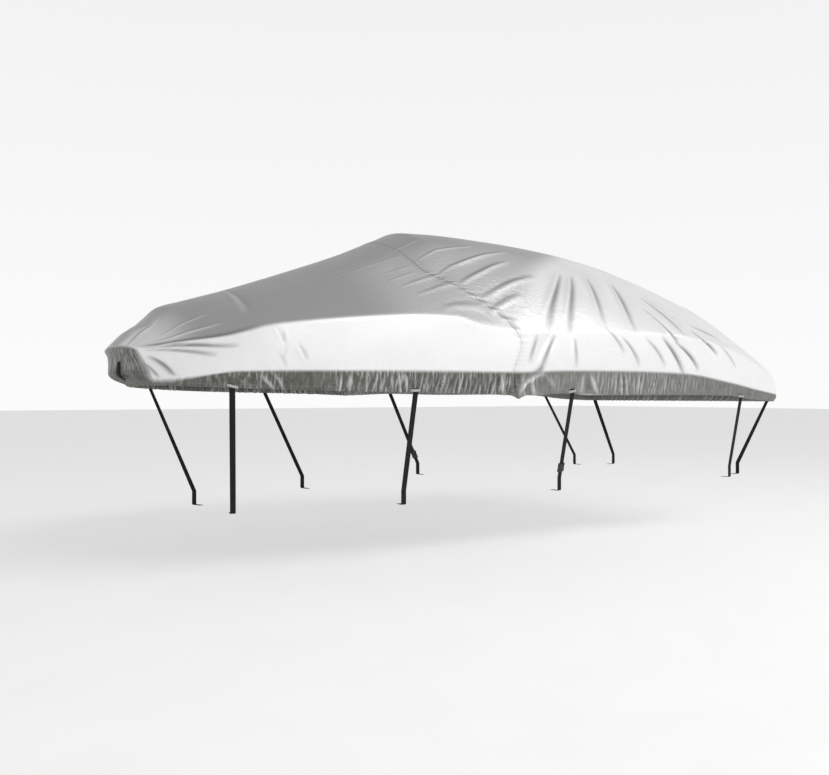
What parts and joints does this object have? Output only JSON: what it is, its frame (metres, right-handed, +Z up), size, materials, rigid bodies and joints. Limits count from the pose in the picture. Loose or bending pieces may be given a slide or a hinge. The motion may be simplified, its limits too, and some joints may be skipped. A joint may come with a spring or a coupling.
{
  "type": "boat cover",
  "caption": "Fitted silver cloth cover for a small runabout on its trailer, with a puckered side seam, gathered hem and black webbing tie-downs",
  "frame": {"origin": "underside of the cloth on the centreline, where it lies on the top of the windscreen", "axes": "+X runs aft along the boat, -Y is the port side, +Z is up"},
  "size_m": [4.6577, 2.06, 1.7248],
  "materials": {
    "silver_cloth": "satin silver coated polyester",
    "black_webbing": "matt woven webbing",
    "black_plastic": "moulded"
  },
  "bodies": {
    "root": {"cover_fore": "silver_cloth", "cover_aft": "silver_cloth", "bow_tab": "black_webbing", "strap_port_1": "black_webbing", "loop_port_1": "silver_cloth", "strap_port_2": "black_webbing", "loop_port_2": "silver_cloth", "strap_port_3": "black_webbing", "loop_port_3": "silver_cloth", "strap_port_4": "black_webbing", "loop_port_4": "silver_cloth", "strap_port_stern": "black_webbing", "buckle_port": "black_plastic", "strap_starboard_1": "black_webbing", "loop_starboard_1": "silver_cloth", "strap_starboard_2": "black_webbing", "loop_starboard_2": "silver_cloth", "strap_starboard_3": "black_webbing", "loop_starboard_3": "silver_cloth", "strap_starboard_4": "black_webbing", "loop_starboard_4": "silver_cloth", "strap_starboard_stern": "black_webbing", "buckle_starboard": "black_plastic"}
  },
  "joints": []
}
